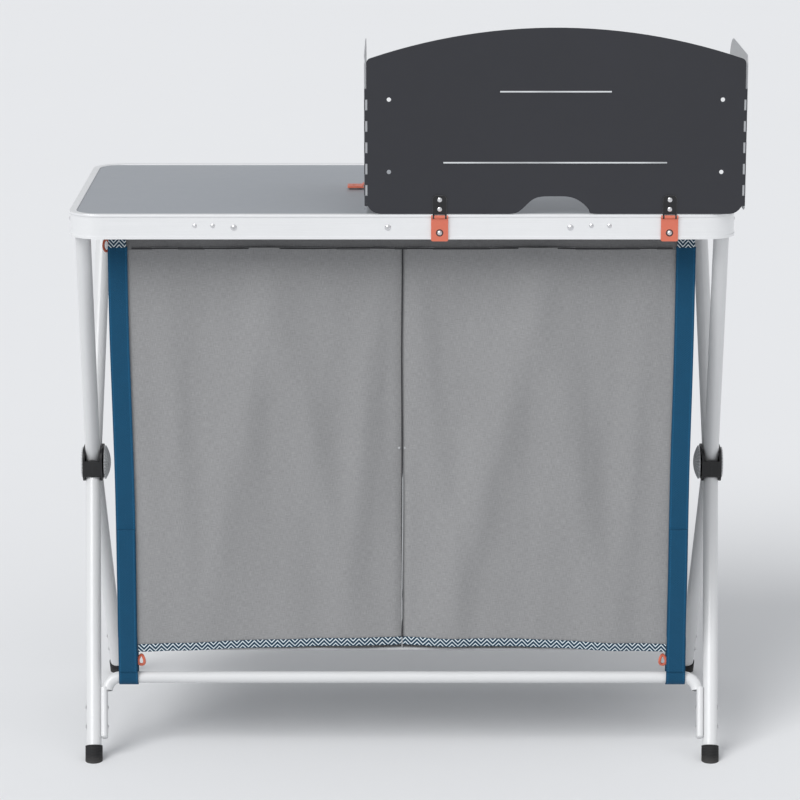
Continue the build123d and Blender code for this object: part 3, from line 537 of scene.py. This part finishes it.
def wrinkle(x, z, seed):
    """Small creases that run mostly up and down."""
    coarse = noise.noise(Vector((x * 11.0, z * 2.3, seed)))
    middle = noise.noise(Vector((x * 27.0, z * 6.0, seed + 7.0)))
    fine = noise.noise(Vector((x * 60.0, z * 31.0, seed + 13.0)))
    return 0.0060 * coarse + 0.0026 * middle + 0.0006 * fine


# Soft folds of the front panel: place across, slant, width and depth
FOLDS = ((-0.325, 0.030, 0.024, 0.0070), (-0.235, -0.110, 0.036, 0.0105), (-0.130, 0.150, 0.030, 0.0090),
         (-0.060, -0.060, 0.020, 0.0060), (0.050, 0.070, 0.022, 0.0070), (0.130, -0.150, 0.034, 0.0105),
         (0.240, 0.120, 0.032, 0.0100), (0.330, -0.040, 0.024, 0.0075))
PANEL_LOW = 0.150
PANEL_HIGH = 0.752
SEAM_WIDTH = 0.0019
BAND_SEAM_WIDTH = 0.0018
SECOND_LAYER = 0.215
PATCH_HEIGHT = 0.019


def front_y(x, z):
    """How far back the front panel lies at a place."""
    low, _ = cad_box("cabinet_closed_panel")
    rise = (z - PANEL_LOW) / (PANEL_HIGH - PANEL_LOW)
    middle = math.sin(math.pi * min(1.0, max(0.0, rise)))
    half = math.sin(math.pi * min(1.0, abs(x) / 0.385)) if abs(x) < 0.385 else 0.0
    free = 1.0 - smooth_step(abs(x), 0.365, 0.392)
    depth = sizes().billow * half * (0.35 + 0.65 * middle)
    for place, slant, width, height in FOLDS:
        away = (x - place - slant * (0.5 - rise)) / width
        depth += height * math.exp(-away * away) * (0.30 + 0.70 * middle) * free
    depth += wrinkle(x, z, 2.0) * free * (0.35 + 0.65 * middle)
    depth -= 0.0035 * math.exp(-(x / 0.007) ** 2)
    return low.y + 0.0022 - depth * free


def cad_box(node):
    """A CAD node's lowest and highest corners, read once."""
    if node not in BOXES:
        BOXES[node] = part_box(node)
    return BOXES[node]


BOXES = {}


def hem_z(x):
    """Height of the front panel's lower edge."""
    bow = max(0.0, 1.0 - (abs(x) / 0.40) ** 2)
    ripple = 0.0012 * noise.noise(Vector((x * 9.0, 4.0, 1.0)))
    return PANEL_LOW + sizes().hem_rise * bow + ripple


# ---- cabinet -----------------------------------------------------------------------------------------------

class CAMPTABLE_OT_front_panel(bpy.types.Operator):
    """Grey front panel with soft folds, its seam and the herringbone hem"""
    bl_idname = "camptable.front_panel"
    bl_label = "Front panel"

    def execute(self, context):
        low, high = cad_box("cabinet_closed_panel")
        wide = high.x - low.x

        def panel(u, v):
            x = low.x + wide * u
            z = hem_z(x) + (PANEL_HIGH - hem_z(x)) * v
            return Vector((x, front_y(x, z), z))

        cloth = bpy.data.materials["Cabinet cloth"]
        piece = grid_piece("front_panel", 220, 110, wide, PANEL_HIGH - PANEL_LOW, panel,
                           sizes().cloth_thickness, cloth)
        settle(piece, "cloth_grey", "cabinet_closed_panel")

        tape_wide = 2 * abs(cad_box("cabinet_hem_binding")[1].x) - 0.002

        def tape(u, v):
            x = tape_wide * (u - 0.5)
            z = hem_z(x) - 0.0006 + sizes().tape_height * v
            return Vector((x, front_y(x, z) - 0.0016 - 0.0006 * math.sin(math.pi * v), z))

        hem = grid_piece("hem_tape", 200, 4, tape_wide, sizes().tape_height, tape, 0.0010,
                         bpy.data.materials["Herringbone tape"])
        settle(hem, "hem_binding", "cabinet_hem_binding")

        def seam(u, v):
            z = hem_z(0.0) + 0.010 + (PANEL_HIGH - hem_z(0.0) - 0.012) * v
            x = 0.0012 * noise.noise(Vector((z * 6.0, 1.0, 3.0))) + SEAM_WIDTH * (u - 0.5)
            return Vector((x, front_y(x, z) - 0.0032 - 0.0004 * math.sin(math.pi * u), z))

        fell = grid_piece("front_seam", 4, 160, SEAM_WIDTH, 0.6, seam, 0.0006, bpy.data.materials["Seam thread"])
        settle(fell, "cloth_grey")
        return {"FINISHED"}


class CAMPTABLE_OT_top_band(bpy.types.Operator):
    """Bands that carry on up inside the rim, front and back, with a stitched seam, in darker cloth that is
    painted shade under the rim
    """
    bl_idname = "camptable.top_band"
    bl_label = "Top bands"

    def execute(self, context):
        low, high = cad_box("cabinet_top_band")
        wide = high.x - low.x
        for side, name in ((-1, "front"), (1, "rear")):
            edge = low.y + 0.0015 if side < 0 else high.y - 0.0015

            def band(u, v):
                x = low.x + 0.002 + (wide - 0.004) * u
                z = low.z - 0.004 + (high.z - low.z + 0.003) * v
                sag = 0.0010 * noise.noise(Vector((x * 14.0, z * 20.0, side)))
                return Vector((x, edge + side * (0.0002 + 0.0010 * (1.0 - v)) + sag, z))

            # Darker cloth: painted shade under the rim.
            piece = grid_piece(name + "_top_band", 160, 6, wide, high.z - low.z, band, 0.0012,
                               bpy.data.materials["Band cloth in painted shade"])
            settle(piece, "cloth_grey", "cabinet_top_band")

            def thread(u, v):
                x = low.x + 0.030 + (wide - 0.060) * u
                z = low.z - 0.002 + BAND_SEAM_WIDTH * v + 0.0010 * noise.noise(Vector((x * 9.0, 2.0, side)))
                return Vector((x, edge + side * 0.0048, z))

            line = grid_piece(name + "_band_seam", 160, 2, wide, BAND_SEAM_WIDTH, thread, 0.0006,
                              bpy.data.materials["Seam thread"])
            settle(line, "cloth_grey")
        return {"FINISHED"}


class CAMPTABLE_OT_sides(bpy.types.Operator):
    """Light grey side walls that swell out a little, with bound edges"""
    bl_idname = "camptable.sides"
    bl_label = "Side walls"

    def execute(self, context):
        for side, node in ((1, "cabinet_side_right"), (-1, "cabinet_side_left")):
            low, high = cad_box(node)
            deep = high.y - low.y
            tall = high.z - low.z
            outer = high.x if side > 0 else low.x

            def wall(u, v):
                y = low.y + deep * u
                z = low.z + tall * v
                swell = 0.006 * math.sin(math.pi * u) * math.sin(math.pi * min(1.0, v * 1.05))
                crease = 0.0045 * noise.noise(Vector((y * 10.0, z * 3.0, 5.0 * side)))
                crease += 0.0012 * noise.noise(Vector((y * 30.0, z * 12.0, 9.0)))
                hold = math.sin(math.pi * u) ** 0.5 if 0.0 < u < 1.0 else 0.0
                return Vector((outer - side * 0.0016 + side * (swell + crease * hold), y, z))

            piece = grid_piece(node.replace("cabinet_", "") + "_cloth", 70, 110, deep, tall, wall,
                               sizes().cloth_thickness, bpy.data.materials["Cabinet lining"])
            settle(piece, "cloth_lining", node)
            for edge_y, label in ((low.y + 0.0006, "front"), (high.y - 0.0006, "rear")):

                def binding(u, v):
                    z = low.z + 0.001 + (tall - 0.03) * v
                    turn = math.pi * (u - 0.5)
                    round_y = -1 if label == "front" else 1
                    x = outer - side * 0.0016 + 0.0020 * math.sin(turn)
                    return Vector((x, edge_y + round_y * 0.0012 * math.cos(turn), z))

                tape = grid_piece(label + "_edge_" + node.split("_")[-1], 8, 90, 0.006, tall, binding, 0.0008,
                                  bpy.data.materials["Cabinet lining"])
                settle(tape, "cloth_lining")
        return {"FINISHED"}


class CAMPTABLE_OT_boards(bpy.types.Operator):
    """Cloth-covered floor, shelves and divider"""
    bl_idname = "camptable.boards"
    bl_label = "Floor, shelves and divider"

    def execute(self, context):
        lining = bpy.data.materials["Board lining"]
        low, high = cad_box("cabinet_floor")
        boards = [("floor_board", "cabinet_floor", low.x, high.x, low, high)]
        low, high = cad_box("cabinet_shelves")
        boards.append(("left_shelf_board", "cabinet_shelves", low.x, -0.0020, low, high))
        boards.append(("right_shelf_board", "cabinet_shelves", 0.0020, high.x, low, high))
        for name, node, x0, x1, low, high in boards:
            middle = (low.z + high.z) / 2.0

            def board(u, v):
                x = x0 + (x1 - x0) * u
                y = low.y + (high.y - low.y) * v
                sag = 0.0022 * math.sin(math.pi * u) * math.sin(math.pi * v)
                return Vector((x, y, middle - sag + 0.0006 * noise.noise(Vector((x * 20.0, y * 20.0, 3.0)))))

            piece = grid_piece(name, 90, 40, x1 - x0, high.y - low.y, board, high.z - low.z, lining)
            soft = piece.modifiers.new("edges", "BEVEL")
            soft.width = 0.0014
            soft.segments = 3
            soft.limit_method = "ANGLE"
            only(piece)
            bpy.ops.object.modifier_apply(modifier=soft.name)
            settle(piece, "board_lining", node)
        low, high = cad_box("cabinet_divider")

        def divider(u, v):
            y = low.y + (high.y - low.y) * u
            z = low.z + (high.z - low.z) * v
            wave = 0.0030 * noise.noise(Vector((y * 8.0, z * 4.0, 8.0))) * math.sin(math.pi * v)
            return Vector((wave, y, z))

        piece = grid_piece("divider_cloth", 50, 90, high.y - low.y, high.z - low.z, divider, 0.0012,
                           bpy.data.materials["Cabinet lining"])
        settle(piece, "cloth_lining", "cabinet_divider")
        return {"FINISHED"}


class CAMPTABLE_OT_straps(bpy.types.Operator):
    """Webbing straps down the corners and round the crossbars, with herringbone patches"""
    bl_idname = "camptable.straps"
    bl_label = "Corner straps"

    def execute(self, context):
        webbing = bpy.data.materials["Webbing"]
        for row, node in ((-1, "front_corner_straps"), (1, "rear_corner_straps")):
            low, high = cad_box(node)
            thick = sizes().strap_thickness
            outer_y = (low.y if row < 0 else high.y) - row * thick / 2.0
            inner_y = (high.y if row < 0 else low.y) + row * thick / 2.0
            bar_y = (outer_y + inner_y) / 2.0
            loop = abs(outer_y - bar_y)
            bar_z = low.z + loop + thick / 2.0
            tail_z = bar_z + 0.040
            top_z = high.z + 0.003
            down = top_z - bar_z
            length = down + math.pi * loop + (tail_z - bar_z)
            for side, label in ((-1, "left"), (1, "right")):
                centre = side * (high.x - sizes().strap_width / 2.0)

                def path(along):
                    if along < down:
                        return outer_y, top_z - along
                    if along < down + math.pi * loop:
                        turn = (along - down) / loop
                        return bar_y + (outer_y - bar_y) * math.cos(turn), bar_z - loop * math.sin(turn)
                    return inner_y, bar_z + along - down - math.pi * loop

                slope = 0.004 if side < 0 else 0.003

                def strap(u, v):
                    y, z = path(v * length)
                    x = centre + sizes().strap_width * (u - 0.5)
                    x += side * slope * smooth_step(z, 0.30, top_z)
                    wave = 0.0006 * noise.noise(Vector((z * 9.0, side * 2.0, row * 3.0)))
                    lean = 0.0014 * noise.noise(Vector((z * 4.0, side * 5.0, row * 7.0)))
                    return Vector((x + (lean if v * length < down * 0.9 else 0.0), y + row * abs(wave), z))

                count = 150
                face = "front" if row < 0 else "rear"
                piece = grid_piece(f"{face}_strap_{label}", 8, count, sizes().strap_width, length, strap, thick,
                                   webbing)
                settle(piece, "strap_blue", node)

                def doubled(u, v):
                    z = bar_z + 0.012 + SECOND_LAYER * v
                    x = centre + (sizes().strap_width - 0.0016) * (u - 0.5)
                    lean = 0.0014 * noise.noise(Vector((z * 4.0, side * 5.0, row * 7.0)))
                    return Vector((x + lean, outer_y + row * 0.0019, z))

                layer = grid_piece(piece.name + "_second_layer", 6, 60, sizes().strap_width, SECOND_LAYER,
                                   doubled, 0.0015, webbing)
                settle(layer, "strap_blue")

                def patch(u, v):
                    x = centre + side * slope + (sizes().strap_width - 0.003) * (u - 0.5)
                    z = high.z + 0.002 + PATCH_HEIGHT * v
                    return Vector((x, outer_y + row * (0.0030 + 0.0004 * math.sin(math.pi * v)), z))

                tab = grid_piece(piece.name + "_patch", 6, 6, sizes().strap_width, PATCH_HEIGHT, patch, 0.0011,
                                 bpy.data.materials["Herringbone tape"])
                settle(tab, "hem_binding")
        return {"FINISHED"}


class CAMPTABLE_OT_door_rolls(bpy.types.Operator):
    """Two doors rolled up under the worktop on the open side, each held by two ties"""
    bl_idname = "camptable.door_rolls"
    bl_label = "Rolled doors"

    def execute(self, context):
        low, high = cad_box("cabinet_top_band")
        radius = sizes().roll_radius
        axis_y = high.y - radius - 0.003
        axis_z = low.z - radius + 0.004
        for side, label in ((-1, "left"), (1, "right")):

            def roll(u, v):
                x = side * (0.016 + 0.364 * u)
                turn = 2 * math.pi * 3.2 * v
                limp = 1.0 + 0.07 * noise.noise(Vector((x * 16.0, v * 2.0, 4.0)))
                reach = (0.0045 + (radius - 0.0045) * v) * limp
                droop = 0.003 * math.sin(math.pi * u)
                return Vector((x, axis_y + reach * math.sin(turn), axis_z - droop + reach * math.cos(turn)))

            piece = grid_piece("door_roll_" + label, 60, 96, 0.364, 0.22, roll, 0.0008,
                               bpy.data.materials["Cabinet cloth"])
            settle(piece, "cloth_grey")
            for place in (0.09, 0.30):

                def tie(u, v):
                    turn = 2 * math.pi * v
                    x = side * place + 0.012 * (u - 0.5)
                    reach = radius * 1.10
                    return Vector((x, axis_y + reach * math.sin(turn), axis_z - 0.0025 + reach * math.cos(turn)))

                ring = grid_piece(f"door_tie_{label}_{int(place * 100)}", 4, 40, 0.012, 0.1, tie, 0.0010,
                                  bpy.data.materials["Webbing"], wrap=True)
                settle(ring, "strap_blue")
        return {"FINISHED"}


class CAMPTABLE_OT_ties(bpy.types.Operator):
    """Orange elastic loops at the hem and at the cabinet's top left corner"""
    bl_idname = "camptable.ties"
    bl_label = "Elastic ties"

    def execute(self, context):
        elastic = bpy.data.materials["Orange elastic"]
        low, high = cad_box("hem_elastics")
        bar_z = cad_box("front_crossbar")[1].z - 0.0085
        for side, label in ((-1, "left"), (1, "right")):
            x = side * (high.x - 0.004)
            path = []
            for step in range(33):
                turn = 2 * math.pi * step / 32.0
                rise = 0.5 - 0.5 * math.cos(turn)
                path.append(Vector((x + 0.0052 * math.sin(turn) * (1.1 - 0.5 * rise),
                                    (low.y + high.y) / 2.0 - 0.003 * math.sin(math.pi * rise),
                                    bar_z + 0.0205 + 0.015 * rise)))
            loop = tube_piece("hem_loop_" + label, path, 0.0021, elastic)
            settle(loop, "elastic_orange", "hem_elastics")
        low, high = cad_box("top_corner_tie")
        x = (low.x + high.x) / 2.0
        y = (low.y + high.y) / 2.0
        oval = []
        for step in range(33):
            turn = 2 * math.pi * step / 32.0
            oval.append(Vector((x + 0.0042 * math.sin(turn), y, low.z + 0.001 + 0.0085 * (1 - math.cos(turn)))))
        settle(tube_piece("top_loop", oval, 0.0018, elastic), "elastic_orange", "top_corner_tie")
        rope = [Vector((x - 0.0006 * math.sin(step), y, low.z + 0.017 + 0.0012 * step)) for step in range(12)]
        settle(tube_piece("top_cord", rope, 0.0010, bpy.data.materials["Tan cord"]), "elastic_orange")
        return {"FINISHED"}


# ---- hard parts: materials only ----------------------------------------------------------------------------

class CAMPTABLE_OT_materials(bpy.types.Operator):
    """Shader groups and every material, put on the hard parts"""
    bl_idname = "camptable.materials"
    bl_label = "Materials"

    def execute(self, context):
        for build in (group_uneven, group_edges, group_grain, group_weave, group_chevron, group_stitch):
            build()
        tint = colors()
        laminate = solid_material("Worktop laminate", tint.laminate, 0.42, scale=5.0, amount=0.10,
                                  bump_scale=1500.0, bump_depth=0.00005)
        rim = solid_material("Rim aluminium", tint.aluminium, 0.34, metal=0.45, scale=4.0, amount=0.10,
                             grain=(9.0, 9.0, 1500.0), edge=(0.92, 0.92, 0.93))
        rivet = solid_material("Rivet metal", (0.72, 0.72, 0.73), 0.30, metal=1.0, scale=60.0, amount=0.25,
                               bump_scale=1500.0, bump_depth=0.00004)
        screw = solid_material("Screw steel", (0.34, 0.34, 0.36), 0.30, metal=1.0, scale=80.0, amount=0.3,
                               grain=(1200.0, 60.0, 1200.0), edge=(0.7, 0.7, 0.72))
        steel_black = solid_material("Black steel", tint.black, 0.42, scale=30.0, amount=0.4, bump_scale=1200.0,
                                     bump_depth=0.00008, edge=(0.22, 0.22, 0.23))
        white = solid_material("White paint", tint.white_paint, 0.32, scale=6.0, amount=0.05, bump_scale=500.0,
                               bump_depth=0.00005, coat=0.15)
        plastic = solid_material("Black moulding", tint.black, 0.50, scale=40.0, amount=0.4, bump_scale=1300.0,
                                 bump_depth=0.00012, edge=(0.05, 0.05, 0.052))
        rubber = rubber_material("Foot rubber", tint.black)
        cap = cap_material("Hub cap", tint.cap_grey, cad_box("hub_centre_bolts")[0].z + 0.003)
        tabs_low, tabs_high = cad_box("front_tabs")
        screws_low, screws_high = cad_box("front_tab_screws")
        middle = (tabs_low.x + tabs_high.x) / 2.0
        spread = (tabs_high.x - tabs_low.x) / 2.0 - 0.012
        tab = tab_material("Coral tab", tint.orange, middle, spread, (screws_low.z + screws_high.z) / 2.0)
        back = two_face_material("Screen back", tint.charcoal, tint.screen_inside, 1, 1.0,
                                 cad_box("screen_back_panel")[0].y)
        left = two_face_material("Screen left", tint.charcoal, tint.screen_inside, 0, 1.0)
        right = two_face_material("Screen right", tint.charcoal, tint.screen_inside, 0, -1.0)
        cloth_material("Cabinet cloth", tint.cloth)
        # Band cloth: the cabinet cloth at 62 %, painted shade under the rim.
        cloth_material("Band cloth in painted shade", [part * 0.62 for part in tint.cloth])
        cloth_material("Seam thread", tint.seam, thread=0.0022, amount=0.5, bump=0.0004)
        cloth_material("Cabinet lining", tint.lining, thread=0.0013, amount=0.12, rough=0.7)
        cloth_material("Board lining", tint.lining, thread=0.0018, amount=0.16, rough=0.75)
        cloth_material("Orange elastic", tint.orange, thread=0.0012, amount=0.35, bump=0.0004)
        cloth_material("Tan cord", tint.cord, thread=0.0010, amount=0.35, bump=0.0004)
        webbing_material("Webbing", tint.strap, sizes().strap_width)
        herringbone_material("Herringbone tape", tint.tape)
        paint_nodes(laminate, "worktop_panel")
        paint_nodes(rim, "worktop_edge_frame", "cross_rails")
        paint_nodes(rivet, "rail_rivets", "leg_bracket_rivets", "front_crossbar_rivets",
                    "rear_crossbar_rivets",
                    "front_tab_rivets", "wing_tab_fasteners_left", "wing_tab_fasteners_right",
                    "rail_end_plates", "edge_screws", "front_tab_screws")
        paint_nodes(screw, "front_leg_pivot_pins", "hub_pins", "hub_centre_bolts",
                    "screen_hinge_pins", "front_tab_pins")
        paint_nodes(steel_black, "front_leg_brackets", "rear_leg_saddles", "front_tab_brackets",
                    "wing_tab_bracket_left", "wing_tab_bracket_right")
        legs = [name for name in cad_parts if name.endswith(("leg_left", "leg_right"))]
        paint_nodes(white, "front_crossbar", "rear_crossbar", *legs)
        paint_nodes(rubber, "front_feet", "rear_feet")
        paint_nodes(plastic, *[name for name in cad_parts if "_shell_" in name])
        paint_nodes(cap, "hub_inner_caps", "hub_outer_caps")
        paint_nodes(tab, "front_tabs", "wing_tab_left", "wing_tab_right")
        paint_nodes(back, "screen_back_panel")
        paint_nodes(left, "screen_wing_left")
        paint_nodes(right, "screen_wing_right")
        return {"FINISHED"}


class CAMPTABLE_OT_stage(bpy.types.Operator):
    """Pale floor and backdrop, soft studio lights and the camera"""
    bl_idname = "camptable.stage"
    bl_label = "Stage"

    def execute(self, context):
        bpy.ops.mesh.primitive_plane_add(size=30.0, location=(0.0, 0.0, 0.0))
        floor = context.object
        floor.name = "floor"
        material, graph, shader, place = new_material("Floor")
        tone = graph.group("Uneven tone", Vector=place["Object"], Color=(*colors().floor, 1.0), Scale=0.6,
                           Amount=0.02)
        graph.feed(tone["Color"], shader.inputs["Base Color"])
        shader.inputs["Roughness"].default_value = 0.85
        shader.inputs["Specular IOR Level"].default_value = 0.1
        floor.data.materials.append(material)

        world = bpy.data.worlds.new("Studio")
        world.use_nodes = True
        world.node_tree.nodes["Background"].inputs["Color"].default_value = (0.95, 0.97, 1.0, 1.0)
        world.node_tree.nodes["Background"].inputs["Strength"].default_value = 0.56
        context.scene.world = world
        context.scene.view_settings.view_transform = "Standard"

        lamps = (("Key", (48.0, 0.0, -38.0), 34.0, 1.75), ("Fill", (30.0, 0.0, 25.0), 80.0, 0.35))
        for name, turn, angle, power in lamps:
            radians = [math.radians(part) for part in turn]
            bpy.ops.object.light_add(type="SUN", location=(0.0, 0.0, 3.0), rotation=radians)
            lamp = context.object
            lamp.name = name
            lamp.data.angle = math.radians(angle)
            lamp.data.energy = power

        bpy.ops.object.camera_add(location=(-0.003, -4.807, 1.600), rotation=(math.radians(77.0), 0.0, 0.0))
        camera = context.object
        camera.data.lens = 149.0
        camera.data.sensor_width = 36.0
        context.scene.camera = camera
        return {"FINISHED"}


class CAMPTABLE_PT_panel(bpy.types.Panel):
    """The table's operators and settings in the sidebar"""
    bl_idname = "CAMPTABLE_PT_panel"
    bl_label = "Camp Table"
    bl_space_type = "VIEW_3D"
    bl_region_type = "UI"
    bl_category = "Camp Table"

    def draw(self, context):
        for settings in (context.scene.camp_table_colors, context.scene.camp_table_sizes):
            box = self.layout.box()
            for name in settings.bl_rna.properties.keys():
                if name not in ("rna_type", "name"):
                    box.prop(settings, name)
        for piece in OPERATORS:
            self.layout.operator(piece.bl_idname)


OPERATORS = (CAMPTABLE_OT_materials, CAMPTABLE_OT_front_panel, CAMPTABLE_OT_top_band, CAMPTABLE_OT_sides,
             CAMPTABLE_OT_boards, CAMPTABLE_OT_straps, CAMPTABLE_OT_door_rolls, CAMPTABLE_OT_ties,
             CAMPTABLE_OT_stage)
CLASSES = (CampTableColors, CampTableSizes) + OPERATORS + (CAMPTABLE_PT_panel,)


def register():
    for item in CLASSES:
        bpy.utils.register_class(item)
    bpy.types.Scene.camp_table_colors = bpy.props.PointerProperty(type=CampTableColors)
    bpy.types.Scene.camp_table_sizes = bpy.props.PointerProperty(type=CampTableSizes)


def unregister():
    del bpy.types.Scene.camp_table_sizes
    del bpy.types.Scene.camp_table_colors
    for item in reversed(CLASSES):
        bpy.utils.unregister_class(item)


def main():
    register()
    bpy.ops.camptable.materials()
    bpy.ops.camptable.front_panel()
    bpy.ops.camptable.top_band()
    bpy.ops.camptable.sides()
    bpy.ops.camptable.boards()
    bpy.ops.camptable.straps()
    bpy.ops.camptable.door_rolls()
    bpy.ops.camptable.ties()
    bpy.ops.camptable.stage()


if __name__ == "__main__":
    main()
